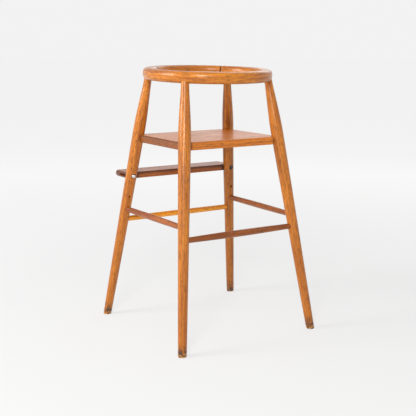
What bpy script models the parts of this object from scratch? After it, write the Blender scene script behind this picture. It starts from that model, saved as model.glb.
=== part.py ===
"""Child's high chair in oiled oak.

Four splayed turned legs stand between the floor and a round hoop that leans slightly
backwards.  A square seat board is let in between the legs, four round stretchers tie
them together, and a footrest board is bolted to the two front legs.  The front of the
hoop is a gate: it turns on a small butt hinge and snaps shut with a bullet catch.

Metres, +Z up, origin on the floor at the middle of the footprint.  The child faces -Y,
so the child's left is +X.
"""
from math import atan, cos, pi, radians, sin

import bmesh
import bpy
from mathutils import Euler, Matrix, Vector

MM = 0.001
GAP = 0.3 * MM

# Legs: straight axes through a head point under the hoop and a foot point on the floor.
HEAD = Vector((0.140, 0.1084, 0.725))
FOOT_Y = 0.2245
FOOT_X = {"front": 0.2329, "rear": 0.2216}
CORNERS = {
    "front_left": (1, -1),
    "front_right": (-1, -1),
    "rear_left": (1, 1),
    "rear_right": (-1, 1),
}
LEG_TURNING = (
    # height above the floor, diameter
    (-0.012, 0.0237),
    (0.075, 0.0260),
    (0.170, 0.0280),
    (0.310, 0.0307),
    (0.420, 0.0330),
    (0.520, 0.0348),
    (0.590, 0.0357),
    (0.618, 0.0344),
    (0.650, 0.0309),
    (0.690, 0.0262),
    (0.715, 0.0226),
)
LEG_STEPS = 20
LEG_END_D = 0.0222
TENON_D = 0.0180
TENON_SHOULDER = 0.008
TENON_LENGTH = 0.020

# Hoop: a ring of rounded square section on a plane that drops towards the back.
HOOP_Z = 0.748
HOOP_TILT = atan(0.0376)
HOOP_R = 0.1710
HOOP_SIDE = 0.0334
HOOP_SQUARENESS = 2.8
HOOP_STEPS = 84
HOOP_SECTION_STEPS = 16
HOOP_JOINTS = {"left_back": 55.0, "right_back": 125.0}

# Gate: the front of the hoop, between its hinge end and its latch end.
HINGE_ANGLE = -50.5
LATCH_ANGLE = -137.5
GATE_GAP = 1.5 * MM

# Seat board and stretchers.
SEAT_TOP = 0.570
SEAT_THICK = 0.0227
SEAT_HALF = Vector((0.163, 0.139))
SEAT_EDGE = 2.5 * MM
STRETCHERS = {
    # name: (corner, corner, height, diameter at the middle)
    "stretcher_left": ("front_left", "rear_left", 0.3418, 0.0180),
    "stretcher_right": ("front_right", "rear_right", 0.3418, 0.0180),
    "stretcher_back": ("rear_left", "rear_right", 0.3080, 0.0195),
    "stretcher_front": ("front_left", "front_right", 0.3088, 0.0172),
}
STRETCHER_END_D = 0.0160
STRETCHER_PAST_AXIS = 3 * MM
STRETCHER_PLAIN = 0.024

# Footrest board, its bolts and its spare, lower pair of holes.
BOARD_Z = 0.4440
BOARD_THICK = 0.0195
BOARD_HALF_X = 0.190
BOARD_BACK_Y = -0.1550
BOARD_FRONT_Y = -0.2360
BOARD_NOSE = 8 * MM
SLOT_HEIGHT = 6.6 * MM
SLOT_FRONT_Y = -0.2030
SPARE_HOLE_Z = 0.3793
SPARE_HOLE_D = 6.5 * MM
CUT_REACH = 0.03  # how far a cutter runs beyond a leg's axis
FLOOR_REACH = 0.4  # half the side of the block that levels the feet
BOLT_D = 6 * MM
BOLT_HEAD_D = 11 * MM
BOLT_HEAD_HEIGHT = 3.8 * MM
BOLT_END_Y = -0.1990
SEATING_D = 14.6 * MM
SEATING_FROM_AXIS = 13.5 * MM
WASHER_D = 13.6 * MM
WASHER_THICK = 1.2 * MM
NUT_D = 10 * MM
NUT_LENGTH = 14 * MM
NUT_Y = -0.1900

# Dowels of the seat and of the hoop's glued joints.
DOWEL_D = 8 * MM
SEAT_DOWEL_START = -2 * MM
SEAT_DOWEL_END = 42 * MM
HOOP_DOWEL_LENGTH = 38 * MM

# Butt hinge on the hoop's outer face.
PIN_R = HOOP_R + HOOP_SIDE / 2 + 0.8 * MM
PIN_D = 2.0 * MM
KNUCKLE_D = 4.8 * MM
LEAF_HEIGHT = 16 * MM
LEAF_LENGTH = 15 * MM
LEAF_THICK = 1.2 * MM
LEAF_INNER_X = -2.5 * MM
HINGE_SCREW_Y = 9 * MM
HINGE_SCREW_Z = 4.5 * MM
SCREW_D = 2.4 * MM
SCREW_HEAD_D = 4.4 * MM
SCREW_LENGTH = 9 * MM

# Bullet catch in the gate's free end.
CATCH_HEIGHT = 4 * MM
SPRING_TURNS = 6
SPRING_POINTS_PER_TURN = 10

OAK = (0.52, 0.24, 0.085, 1.0)
PALE_OAK = (0.62, 0.34, 0.12, 1.0)
DARK_OAK = (0.36, 0.14, 0.06, 1.0)
BEECH = (0.66, 0.47, 0.30, 1.0)
BRASS = (0.72, 0.53, 0.24, 1.0)
ZINC = (0.78, 0.80, 0.82, 1.0)
DARK_STEEL = (0.16, 0.15, 0.15, 1.0)


def clear_scene():
    """Remove every object, so that the script gives the same result each run."""
    for obj in list(bpy.data.objects):
        bpy.data.objects.remove(obj, do_unlink=True)


def collection(name):
    """A collection of this name, linked to the scene."""
    group = bpy.data.collections.get(name) or bpy.data.collections.new(name)
    if group.name not in bpy.context.scene.collection.children:
        bpy.context.scene.collection.children.link(group)
    return group


clear_scene()
PARTS = collection("high_chair")
CUTTERS = collection("cutters")


# ---------------------------------------------------------------- making and placing


def add(name, data, group):
    """Wrap mesh or curve data in an object and put it in its collection."""
    obj = bpy.data.objects.new(name, data)
    group.objects.link(obj)
    if group is CUTTERS:
        obj.hide_render = True
        obj.display_type = "WIRE"
    return obj


def empty(name, parent=None, location=(0, 0, 0), rotation=(0, 0, 0)):
    """A plain axes empty that carries other pieces."""
    obj = add(name, None, PARTS)
    place(obj, location, rotation, parent)
    return obj


def place(obj, location=(0, 0, 0), rotation=(0, 0, 0), parent=None):
    """Set a piece's place in its parent's frame."""
    obj.parent = parent
    obj.location = location
    obj.rotation_euler = rotation
    return obj


def aim(obj, start, direction):
    """Put an object's origin at start and turn its +Z along direction."""
    obj.location = start
    obj.rotation_euler = Vector(direction).to_track_quat("Z", "Y").to_euler()
    return obj


def smooth(mesh):
    """Shade round faces smooth and keep the real edges sharp."""
    mesh.shade_smooth()
    mesh.set_sharp_from_angle(angle=radians(35))


def box(name, low, high, group=PARTS, rounding=0.0, segments=2):
    """A block between two corners, with its edges rounded when rounding is given."""
    low = Vector(low)
    high = Vector(high)
    mesh = bpy.data.meshes.new(name)
    shape = bmesh.new()
    size = Matrix.Diagonal((*(high - low), 1.0))
    bmesh.ops.create_cube(shape, size=1.0, matrix=Matrix.Translation((low + high) / 2) @ size)
    shape.to_mesh(mesh)
    shape.free()
    obj = add(name, mesh, group)
    if rounding:
        bevel = obj.modifiers.new("rounding", "BEVEL")
        bevel.width = rounding
        bevel.segments = segments
        bevel.limit_method = "ANGLE"
    return obj


def rod(name, diameter, start, end, group=PARTS, steps=16):
    """A plain cylinder between two heights of its own Z axis."""
    mesh = bpy.data.meshes.new(name)
    shape = bmesh.new()
    bmesh.ops.create_cone(
        shape,
        cap_ends=True,
        segments=steps,
        radius1=diameter / 2,
        radius2=diameter / 2,
        depth=end - start,
        matrix=Matrix.Translation((0, 0, (start + end) / 2)),
    )
    shape.to_mesh(mesh)
    shape.free()
    smooth(mesh)
    return add(name, mesh, group)


def turned(name, profile, steps, group=PARTS, closed=False):
    """Spin a (radius, height) profile about Z; its outer side runs from top to bottom."""
    points = [(radius, 0.0, height) for radius, height in profile]
    edges = [(i, i + 1) for i in range(len(points) - 1)]
    if closed:
        edges.append((len(points) - 1, 0))
    mesh = bpy.data.meshes.new(name)
    mesh.from_pydata(points, edges, [])
    obj = add(name, mesh, group)
    screw = obj.modifiers.new("turning", "SCREW")
    screw.axis = "Z"
    screw.angle = 2 * pi
    screw.steps = steps
    screw.render_steps = steps
    screw.use_merge_vertices = True
    screw.merge_threshold = 0.00001
    screw.use_smooth_shade = True
    return obj


def prism(name, outline, low, high, group=PARTS):
    """A flat (x, y) outline given counter-clockwise, extruded between two heights."""
    mesh = bpy.data.meshes.new(name)
    shape = bmesh.new()
    face = shape.faces.new([shape.verts.new((x, y, low)) for x, y in outline])
    side = bmesh.ops.extrude_face_region(shape, geom=[face])["geom"]
    lifted = [item for item in side if isinstance(item, bmesh.types.BMVert)]
    bmesh.ops.translate(shape, verts=lifted, vec=(0, 0, high - low))
    bmesh.ops.recalc_face_normals(shape, faces=shape.faces)
    shape.to_mesh(mesh)
    shape.free()
    return add(name, mesh, group)


def boolean(obj, operation, *others):
    """Add one Boolean modifier to obj for each other object."""
    for other in others:
        change = obj.modifiers.new(f"{operation.lower()}_{other.name}"[:60], "BOOLEAN")
        change.operation = operation
        change.object = other
    return obj


def cut(obj, *cutters):
    """Take the cutters' volume out of obj."""
    return boolean(obj, "DIFFERENCE", *cutters)


def finish(obj, name, color, roughness, metallic=0.0):
    """Give a piece its own Principled material."""
    material = bpy.data.materials.new(f"{obj.name}_{name}")
    material.use_nodes = True
    shader = material.node_tree.nodes["Principled BSDF"]
    shader.inputs["Base Color"].default_value = color
    shader.inputs["Roughness"].default_value = roughness
    shader.inputs["Metallic"].default_value = metallic
    obj.data.materials.append(material)
    return obj


# ---------------------------------------------------------------- legs and stretchers


def leg_axis(corner):
    """Foot point on the floor and unit direction up the leg."""
    side, end = CORNERS[corner]
    foot_x = FOOT_X[corner.split("_")[0]]
    foot = Vector((side * foot_x, end * FOOT_Y, 0.0))
    head = Vector((side * HEAD.x, end * HEAD.y, HEAD.z))
    return foot, (head - foot).normalized()


def leg_point(corner, height):
    """Point of the leg's axis at a height above the floor."""
    foot, direction = leg_axis(corner)
    return foot + direction * (height / direction.z)


def hoop_underside(y):
    """Height of the hoop's underside above a line of constant y."""
    return HOOP_Z - y * sin(HOOP_TILT) / cos(HOOP_TILT) - HOOP_SIDE / 2 / cos(HOOP_TILT)


def leg_profile(corner, grow=0.0):
    """The leg's (radius, length) profile from its tenon down to below the floor."""
    direction = leg_axis(corner)[1]
    top = hoop_underside(leg_point(corner, HEAD.z).y)
    heights = [
        (top + TENON_LENGTH + grow, 0.0),
        (top + TENON_LENGTH + grow, TENON_D),
        (top + TENON_SHOULDER + 2 * MM, TENON_D),
        (top + TENON_SHOULDER, LEG_END_D),
        (top - 6 * MM, LEG_END_D),
    ]
    heights += list(reversed(LEG_TURNING))
    heights.append((LEG_TURNING[0][0], 0.0))
    return [
        (diameter / 2 + grow if diameter else 0.0, height / direction.z)
        for height, diameter in heights
    ]


def turned_leg(name, corner, group, grow=0.0):
    """A leg, or a slightly larger copy of it that cuts the pieces it passes through."""
    foot, direction = leg_axis(corner)
    obj = turned(name, leg_profile(corner, grow), LEG_STEPS, group)
    return aim(obj, foot, direction)


def stretcher_profile(length, middle):
    """Plain ends that fill the sockets, and a slow swell of half a sine between them."""
    inside = STRETCHER_PAST_AXIS
    end_r = STRETCHER_END_D / 2
    swell = middle / 2 - end_r
    free = length - 2 * STRETCHER_PLAIN
    count = 8
    profile = [(0.0, length + inside), (end_r, length + inside)]
    for i in range(count, -1, -1):
        share = i / count
        profile.append((end_r + swell * sin(pi * share), STRETCHER_PLAIN + free * share))
    profile += [(end_r, -inside), (0.0, -inside)]
    return profile


def seat_dowel_axis(corner):
    """Start on the leg's axis at the seat's middle plane, and the way into the seat."""
    side, end = CORNERS[corner]
    start = leg_point(corner, SEAT_TOP - SEAT_THICK / 2)
    return start, Vector((-side, -0.85 * end, 0.0)).normalized()


LEG_CUTTERS = {
    corner: turned_leg(f"cut_leg_{corner}", corner, CUTTERS, GAP) for corner in CORNERS
}


def make_stretchers():
    """Four round rails, and the sockets that they need in the legs."""
    sockets = {corner: [] for corner in CORNERS}
    for name, (first, second, height, middle) in STRETCHERS.items():
        start = leg_point(first, height)
        end = leg_point(second, height)
        length = (end - start).length
        rail = turned(name, stretcher_profile(length, middle), 16)
        aim(rail, start, end - start)
        color = PALE_OAK if name == "stretcher_front" else DARK_OAK
        finish(rail, "oak", color, 0.42)
        past = STRETCHER_PAST_AXIS + GAP
        socket = rod(f"cut_{name}", STRETCHER_END_D + 2 * GAP, -past, length + past, CUTTERS)
        aim(socket, start, end - start)
        sockets[first].append(socket)
        sockets[second].append(socket)
    return sockets


def make_seat_dowels():
    """One dowel from each leg into the seat, and the holes they need."""
    holes = {}
    for corner in CORNERS:
        start, direction = seat_dowel_axis(corner)
        dowel = rod(f"seat_dowel_{corner}", DOWEL_D, SEAT_DOWEL_START, SEAT_DOWEL_END, steps=12)
        aim(dowel, start, direction)
        finish(dowel, "beech", BEECH, 0.6)
        hole = rod(
            f"cut_seat_dowel_{corner}",
            DOWEL_D + 2 * GAP,
            SEAT_DOWEL_START - GAP,
            SEAT_DOWEL_END + GAP,
            CUTTERS,
            steps=12,
        )
        aim(hole, start, direction)
        holes[corner] = hole
    return holes


def make_bolt_holes():
    """Through holes, their flat seatings and the spare lower holes of the front legs."""
    holes = {}
    for corner in ("front_left", "front_right"):
        axis = leg_point(corner, BOARD_Z)
        spare = leg_point(corner, SPARE_HOLE_Z)
        through = rod(f"cut_bolt_{corner}", BOLT_D + 2 * GAP, -CUT_REACH, CUT_REACH, CUTTERS, 14)
        seating = rod(f"cut_seating_{corner}", SEATING_D, SEATING_FROM_AXIS, CUT_REACH, CUTTERS, 20)
        lower = rod(f"cut_spare_{corner}", SPARE_HOLE_D, -CUT_REACH, CUT_REACH, CUTTERS, 14)
        aim(through, axis, (0, 1, 0))
        aim(seating, axis, (0, 1, 0))
        aim(lower, spare, (0, 1, 0))
        holes[corner] = [through, seating, lower]
    return holes


def make_legs(sockets, dowel_holes, bolt_holes):
    """Four legs, cut level at the floor."""
    low = (-FLOOR_REACH, -FLOOR_REACH, -0.1)
    floor = box("cut_floor", low, (FLOOR_REACH, FLOOR_REACH, 0.0), CUTTERS)
    for corner in CORNERS:
        leg = turned_leg(f"leg_{corner}", corner, PARTS)
        cut(leg, floor, *sockets[corner], dowel_holes[corner], *bolt_holes.get(corner, ()))
        finish(leg, "oak", OAK, 0.4)


def make_seat(dowel_holes):
    """The seat board, coped round the four legs."""
    low = (-SEAT_HALF.x, -SEAT_HALF.y, SEAT_TOP - SEAT_THICK)
    high = (SEAT_HALF.x, SEAT_HALF.y, SEAT_TOP)
    seat = box("seat", low, high, rounding=SEAT_EDGE)
    cut(seat, *LEG_CUTTERS.values(), *dowel_holes.values())
    finish(seat, "oak", (0.50, 0.29, 0.15, 1.0), 0.5)


# ---------------------------------------------------------------- hoop and gate

HOOP_FRAME = empty("hoop_frame", None, (0, 0, HOOP_Z), (-HOOP_TILT, 0, 0))


def polar(radius, angle, height=0.0):
    """A point of the hoop's frame from its radius, angle in degrees and height."""
    return Vector((radius * cos(radians(angle)), radius * sin(radians(angle)), height))


def hoop_section():
    """Rounded square: a superellipse about the centre line, running down outside."""
    half = HOOP_SIDE / 2
    power = 2 / HOOP_SQUARENESS
    section = []
    for i in range(HOOP_SECTION_STEPS):
        turn = pi / 2 - 2 * pi * (i + 0.5) / HOOP_SECTION_STEPS
        across = abs(cos(turn)) ** power * (1 if cos(turn) > 0 else -1)
        up = abs(sin(turn)) ** power * (1 if sin(turn) > 0 else -1)
        section.append((HOOP_R + half * across, half * up))
    return section


def hoop_arc(name, start, end, parent, location=(0, 0, 0)):
    """The part of the hoop between two angles, in degrees, counter-clockwise."""
    arc = turned(name, hoop_section(), HOOP_STEPS, closed=True)
    place(arc, location, parent=parent)
    reach = 0.25
    count = 4
    rim = [polar(reach, start + (end - start) * i / count) for i in range(count + 1)]
    outline = [(0.0, 0.0)] + [(point.x, point.y) for point in rim]
    wedge = prism(f"cut_wedge_{name}", outline, -0.04, 0.04, CUTTERS)
    place(wedge, parent=HOOP_FRAME)
    boolean(arc, "INTERSECT", wedge)
    finish(arc, "oak", OAK, 0.36)
    return arc


def arc_degrees(length):
    """Angle in degrees of a length along the hoop's centre line."""
    return length / HOOP_R * 180 / pi


def make_hoop_dowels():
    """Dowels across the hoop's two glued joints at the back."""
    holes = {}
    half = HOOP_DOWEL_LENGTH / 2
    for name, angle in HOOP_JOINTS.items():
        turn = (radians(90), 0, radians(angle))
        at = polar(HOOP_R, angle)
        dowel = rod(f"hoop_dowel_{name}", DOWEL_D, -half, half, steps=12)
        place(dowel, at, turn, HOOP_FRAME)
        finish(dowel, "beech", BEECH, 0.6)
        hole = rod(f"cut_hoop_{name}", DOWEL_D + 2 * GAP, -half - GAP, half + GAP, CUTTERS, 12)
        holes[name] = place(hole, at, turn, HOOP_FRAME)
    return holes


def make_hoop():
    """Three glued arcs and the gate that closes the front."""
    holes = make_hoop_dowels()
    joint = arc_degrees(GAP / 2)
    opening = arc_degrees(GATE_GAP / 2)
    left_back = HOOP_JOINTS["left_back"]
    right_back = HOOP_JOINTS["right_back"]
    left = hoop_arc("hoop_left", HINGE_ANGLE + opening, left_back - joint, HOOP_FRAME)
    back = hoop_arc("hoop_back", left_back + joint, right_back - joint, HOOP_FRAME)
    right = hoop_arc("hoop_right", right_back + joint, LATCH_ANGLE + 360 - opening, HOOP_FRAME)
    pin = polar(PIN_R, HINGE_ANGLE)
    gate_frame = empty("gate_frame", HOOP_FRAME, pin)
    gate = hoop_arc("gate", LATCH_ANGLE + opening, HINGE_ANGLE - opening, gate_frame, -pin)
    cut(left, holes["left_back"], LEG_CUTTERS["front_left"], LEG_CUTTERS["rear_left"])
    cut(back, holes["left_back"], holes["right_back"])
    cut(right, holes["right_back"], LEG_CUTTERS["front_right"], LEG_CUTTERS["rear_right"])
    return left, right, gate, gate_frame


def make_hinge_leaf(name, side, knuckles, parent, location):
    """Flat leaf on one side of the pin, its rolled knuckles and two countersunk holes."""
    half = LEAF_HEIGHT / 2
    inner = KNUCKLE_D / 2 + 2 * GAP
    outer_x = LEAF_INNER_X + LEAF_THICK
    ends = sorted((side * inner, side * LEAF_LENGTH))
    leaf = box(name, (LEAF_INNER_X, ends[0], -half), (outer_x, ends[1], half))
    extra = []
    for number, (low, high) in enumerate(knuckles):
        tab_ends = sorted((side * 0.6 * MM, side * (inner + 0.5 * MM)))
        tab = box(
            f"join_{name}_tab_{number}",
            (LEAF_INNER_X, tab_ends[0], low),
            (outer_x, tab_ends[1], high),
            CUTTERS,
        )
        barrel = rod(f"join_{name}_knuckle_{number}", KNUCKLE_D, low, high, CUTTERS, 16)
        extra += [tab, barrel]
    bore = rod(f"cut_{name}_bore", PIN_D + 2 * GAP, -half - MM, half + MM, CUTTERS, 12)
    holes = []
    for sign in (-1, 1):
        sink = turned(
            f"cut_{name}_sink_{'low' if sign < 0 else 'high'}",
            [(0.0, MM), (3.3 * MM, MM), (SCREW_D / 2 + GAP, -1.2 * MM),
             (SCREW_D / 2 + GAP, -SCREW_LENGTH - GAP), (0.0, -SCREW_LENGTH - GAP)],
            12,
            CUTTERS,
        )
        holes.append(sink)
        place(sink, *screw_place(side, sign, location), parent)
    turn = (0, 0, radians(HINGE_ANGLE))
    for obj in (leaf, bore, *extra):
        place(obj, location, turn, parent)
    boolean(leaf, "UNION", *extra)
    cut(leaf, bore, *holes)
    finish(leaf, "brass", BRASS, 0.35, 1.0)
    return holes


def screw_place(side, sign, location):
    """Place and turn of a hinge screw: its +Z leaves the leaf's outer face."""
    angle = radians(HINGE_ANGLE)
    face_x = LEAF_INNER_X + LEAF_THICK
    offset = Vector((face_x, side * HINGE_SCREW_Y, sign * HINGE_SCREW_Z))
    offset.rotate(Euler((0, 0, angle)))
    return Vector(location) + offset, (0, radians(90), angle)


def make_hinge_screws(name, side, parent, location):
    """The two countersunk screws of one leaf."""
    head = SCREW_HEAD_D / 2
    shank = SCREW_D / 2
    profile = [
        (0.0, -0.1 * MM),
        (head, -0.1 * MM),
        (shank, -1.3 * MM),
        (shank, -SCREW_LENGTH + 2 * MM),
        (0.0, -SCREW_LENGTH),
    ]
    for row, sign in (("upper", 1), ("lower", -1)):
        screw = turned(f"{name}_{row}", profile, 10)
        place(screw, *screw_place(side, sign, location), parent)
        finish(screw, "brass", BRASS, 0.35, 1.0)


def make_hinge(left, gate, gate_frame):
    """Butt hinge: two leaves let into the wood, a pin and four screws."""
    pin_at = polar(PIN_R, HINGE_ANGLE)
    origin = Vector((0, 0, 0))
    half = LEAF_HEIGHT / 2
    third = 3 * MM
    outer_knuckles = ((third, half), (-half, -third))
    inner_knuckles = ((-third + GAP, third - GAP),)
    holes_ring = make_hinge_leaf("hinge_leaf_hoop", 1, outer_knuckles, HOOP_FRAME, pin_at)
    holes_gate = make_hinge_leaf("hinge_leaf_gate", -1, inner_knuckles, gate_frame, origin)
    make_hinge_screws("hinge_screw_hoop", 1, HOOP_FRAME, pin_at)
    make_hinge_screws("hinge_screw_gate", -1, gate_frame, origin)
    head = [(0.0, half + 1.2 * MM), (1.7 * MM, half + 1.0 * MM), (1.7 * MM, half + GAP)]
    shank = [(PIN_D / 2, half + GAP), (PIN_D / 2, -half - 0.4 * MM), (0.0, -half - 0.8 * MM)]
    pin = turned("hinge_pin", head + shank, 12)
    place(pin, pin_at, (0, 0, radians(HINGE_ANGLE)), HOOP_FRAME)
    finish(pin, "brass", BRASS, 0.3, 1.0)

    turn = (0, 0, radians(HINGE_ANGLE))
    reach = LEAF_LENGTH + GAP
    tall = half + GAP
    mortise = box(
        "cut_hinge_mortise",
        (LEAF_INNER_X - GAP, -reach, -tall),
        (10 * MM, reach, tall),
        CUTTERS,
    )
    groove = rod("cut_hinge_groove", KNUCKLE_D + 3 * GAP, -CUT_REACH, CUT_REACH, CUTTERS, 16)
    place(mortise, pin_at, turn, HOOP_FRAME)
    place(groove, pin_at, turn, HOOP_FRAME)
    cut(left, mortise, groove, *holes_ring)
    cut(gate, mortise, groove, *holes_gate)


def millimetres(*points):
    """Profile points given in millimetres."""
    return [(radius * MM, height * MM) for radius, height in points]


def make_catch(right, gate, gate_frame):
    """Bullet catch: barrel, spring and plunger in the gate, dished strike in the hoop.

    Its own +Z leaves the gate's end face square, its zero is the middle of the gap.
    """
    at = polar(HOOP_R, LATCH_ANGLE, CATCH_HEIGHT)
    turn = (radians(90), 0, radians(LATCH_ANGLE))
    in_gate = at - polar(PIN_R, HINGE_ANGLE)
    face = GATE_GAP / MM / 2

    barrel = turned(
        "catch_barrel",
        millimetres(
            (0, -12.5), (2.3, -12.5), (2.3, -1.5), (1.95, -1.5), (1.95, -face), (4.6, -face),
            (4.6, -1.55), (3.4, -1.55), (3.4, -13.5), (0, -13.5),
        ),
        16,
    )
    plunger = turned(
        "catch_plunger",
        millimetres(
            (0, 1.95), (0.85, 1.71), (1.43, 1.12), (1.65, 0.3), (1.65, -1.8), (2.0, -1.8),
            (2.0, -5.0), (0, -5.0),
        ),
        14,
    )
    strike = turned(
        "catch_strike",
        millimetres(
            (1.9, 3.35), (3.6, 1.75), (5.4, 1.75), (5.4, face), (2.6, face), (0.7, 2.75),
            (0.7, 3.35),
        ),
        16,
        closed=True,
    )
    barrel_hole = turned(
        "cut_catch_barrel",
        millimetres((0, 1), (4.9, 1), (4.9, -1.85), (3.7, -1.85), (3.7, -13.8), (0, -13.8)),
        16,
        CUTTERS,
    )
    strike_hole = turned(
        "cut_catch_strike",
        millimetres((0, 3.65), (2.3, 3.65), (3.95, 2.05), (5.7, 2.05), (5.7, -0.5), (0, -0.5)),
        16,
        CUTTERS,
    )
    spring = make_spring()
    for piece in (barrel, plunger, spring):
        place(piece, in_gate, turn, gate_frame)
    for piece in (strike, barrel_hole, strike_hole):
        place(piece, at, turn, HOOP_FRAME)
    cut(gate, barrel_hole)
    cut(right, strike_hole)
    for piece in (barrel, plunger, strike):
        finish(piece, "brass", BRASS, 0.3, 1.0)
    finish(spring, "steel", ZINC, 0.3, 1.0)


def make_spring():
    """Compression coil between the plunger's collar and the barrel's floor."""
    coil_r = 1.5 * MM
    low = -11.9 * MM
    high = -5.6 * MM
    count = SPRING_TURNS * SPRING_POINTS_PER_TURN
    curve = bpy.data.curves.new("catch_spring", "CURVE")
    curve.dimensions = "3D"
    curve.bevel_depth = 0.28 * MM
    curve.bevel_resolution = 1
    curve.use_fill_caps = True
    spline = curve.splines.new("POLY")
    spline.points.add(count)
    for i, point in enumerate(spline.points):
        turn = 2 * pi * i / SPRING_POINTS_PER_TURN
        height = low + (high - low) * i / count
        point.co = (coil_r * cos(turn), coil_r * sin(turn), height, 1.0)
    return add("catch_spring", curve, PARTS)


# ---------------------------------------------------------------- footrest


def make_board():
    """Footrest board with a rounded nose, coped round the front halves of the legs."""
    half = BOARD_THICK / 2
    board = box(
        "footrest_board",
        (-BOARD_HALF_X, BOARD_FRONT_Y, BOARD_Z - half),
        (BOARD_HALF_X, BOARD_BACK_Y, BOARD_Z + half),
    )
    shape = bmesh.new()
    shape.from_mesh(board.data)
    nose = [
        edge for edge in shape.edges
        if all(vert.co.y < BOARD_FRONT_Y + MM for vert in edge.verts)
        and abs(edge.verts[0].co.x - edge.verts[1].co.x) > BOARD_HALF_X
    ]
    bmesh.ops.bevel(shape, geom=nose, offset=BOARD_NOSE, segments=4, affect="EDGES", profile=0.5)
    shape.to_mesh(board.data)
    shape.free()
    rounding = board.modifiers.new("rounding", "BEVEL")
    rounding.width = 1.2 * MM
    rounding.segments = 1
    rounding.limit_method = "ANGLE"
    rounding.angle_limit = radians(50)
    finish(board, "oak", DARK_OAK, 0.45)
    return board


def make_bolt(name, head_y):
    """Slotted pan-head bolt, its +Z from the shank's end to the head's top."""
    head_r = BOLT_HEAD_D / 2
    shank_r = BOLT_D / 2
    profile = [
        (0.0, BOLT_HEAD_HEIGHT),
        (head_r * 0.62, BOLT_HEAD_HEIGHT),
        (head_r * 0.90, BOLT_HEAD_HEIGHT * 0.78),
        (head_r, BOLT_HEAD_HEIGHT * 0.42),
        (head_r, 0.0),
        (shank_r, 0.0),
        (shank_r, BOLT_END_Y - head_y + MM),
        (shank_r - 0.8 * MM, BOLT_END_Y - head_y),
        (0.0, BOLT_END_Y - head_y),
    ]
    bolt = turned(name, profile, 16)
    slot = box(
        f"cut_{name}_slot",
        (-BOLT_HEAD_D, -0.8 * MM, BOLT_HEAD_HEIGHT - 1.6 * MM),
        (BOLT_HEAD_D, 0.8 * MM, BOLT_HEAD_HEIGHT + MM),
        CUTTERS,
    )
    return bolt, slot


def make_footrest():
    """Board, and on each side a bolt, a washer and a barrel nut."""
    board = make_board()
    cut(board, LEG_CUTTERS["front_left"], LEG_CUTTERS["front_right"])
    for corner in ("front_left", "front_right"):
        side = CORNERS[corner][0]
        short = corner.split("_")[1]
        axis = leg_point(corner, BOARD_Z)
        washer_y = axis.y + SEATING_FROM_AXIS + GAP
        head_y = washer_y + WASHER_THICK + GAP
        slot_ends = sorted((side * (abs(axis.x) - SLOT_HEIGHT / 2), side * (BOARD_HALF_X + 0.01)))
        slot = box(
            f"cut_board_slot_{short}",
            (slot_ends[0], SLOT_FRONT_Y, BOARD_Z - SLOT_HEIGHT / 2),
            (slot_ends[1], axis.y, BOARD_Z + SLOT_HEIGHT / 2),
            CUTTERS,
        )
        nut = rod(f"footrest_nut_{short}", NUT_D, -NUT_LENGTH / 2, NUT_LENGTH / 2, steps=16)
        nut_hole = rod(
            f"cut_nut_hole_{short}", NUT_D + 2 * GAP, -0.02, NUT_LENGTH / 2 + GAP, CUTTERS, 16
        )
        nut_bore = rod(f"cut_nut_bore_{short}", BOLT_D + 2 * GAP, -0.01, 0.01, CUTTERS, 12)
        nut_at = (axis.x, NUT_Y, BOARD_Z)
        place(nut, nut_at)
        place(nut_hole, nut_at)
        aim(nut_bore, nut_at, (0, 1, 0))
        cut(nut, nut_bore)
        cut(board, slot, nut_hole)
        washer = turned(
            f"footrest_washer_{short}",
            [(WASHER_D / 2, WASHER_THICK), (WASHER_D / 2, 0.0),
             (BOLT_D / 2 + GAP, 0.0), (BOLT_D / 2 + GAP, WASHER_THICK)],
            20,
            closed=True,
        )
        aim(washer, (axis.x, washer_y, BOARD_Z), (0, 1, 0))
        bolt, slot_cut = make_bolt(f"footrest_bolt_{short}", head_y)
        for piece in (bolt, slot_cut):
            aim(piece, (axis.x, head_y, BOARD_Z), (0, 1, 0))
        cut(bolt, slot_cut)
        finish(nut, "steel", DARK_STEEL, 0.5, 1.0)
        finish(washer, "steel", DARK_STEEL, 0.5, 1.0)
        finish(bolt, "steel", ZINC if side > 0 else DARK_STEEL, 0.35, 1.0)


def main():
    """Build the whole chair."""
    sockets = make_stretchers()
    dowel_holes = make_seat_dowels()
    bolt_holes = make_bolt_holes()
    make_legs(sockets, dowel_holes, bolt_holes)
    make_seat(dowel_holes)
    left, right, gate, gate_frame = make_hoop()
    make_hinge(left, gate, gate_frame)
    make_catch(right, gate, gate_frame)
    make_footrest()


main()
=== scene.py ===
"""Looks of the child's high chair: turned oak legs, hoop with its gate, seat, footrest.

Every wooden piece is a surface worked out with numpy on the same axes and sizes as its
solid in the frame.  Hardware keeps its own solids and gets better metal.
"""
from math import atan, cos, pi, radians, sin

import bpy
import numpy as np
from bpy.props import FloatProperty, FloatVectorProperty, IntProperty, PointerProperty
from bpy.types import Operator, Panel, PropertyGroup
from mathutils import Matrix, Vector


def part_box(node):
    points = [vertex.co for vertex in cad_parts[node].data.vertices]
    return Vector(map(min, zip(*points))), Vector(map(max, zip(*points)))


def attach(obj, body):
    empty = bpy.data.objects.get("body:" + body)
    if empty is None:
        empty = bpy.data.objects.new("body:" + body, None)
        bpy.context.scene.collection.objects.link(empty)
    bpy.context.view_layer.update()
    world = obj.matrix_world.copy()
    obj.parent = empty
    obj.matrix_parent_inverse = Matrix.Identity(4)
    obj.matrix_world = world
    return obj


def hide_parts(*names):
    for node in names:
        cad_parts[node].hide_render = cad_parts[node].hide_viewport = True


bl_info = {
    "name": "Oak High Chair",
    "version": (1, 0, 0),
    "blender": (4, 5, 0),
    "location": "3D View > Sidebar > High Chair",
    "description": "Makes the wooden pieces, metal and stage of a child's high chair",
    "category": "Add Mesh",
}

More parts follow.
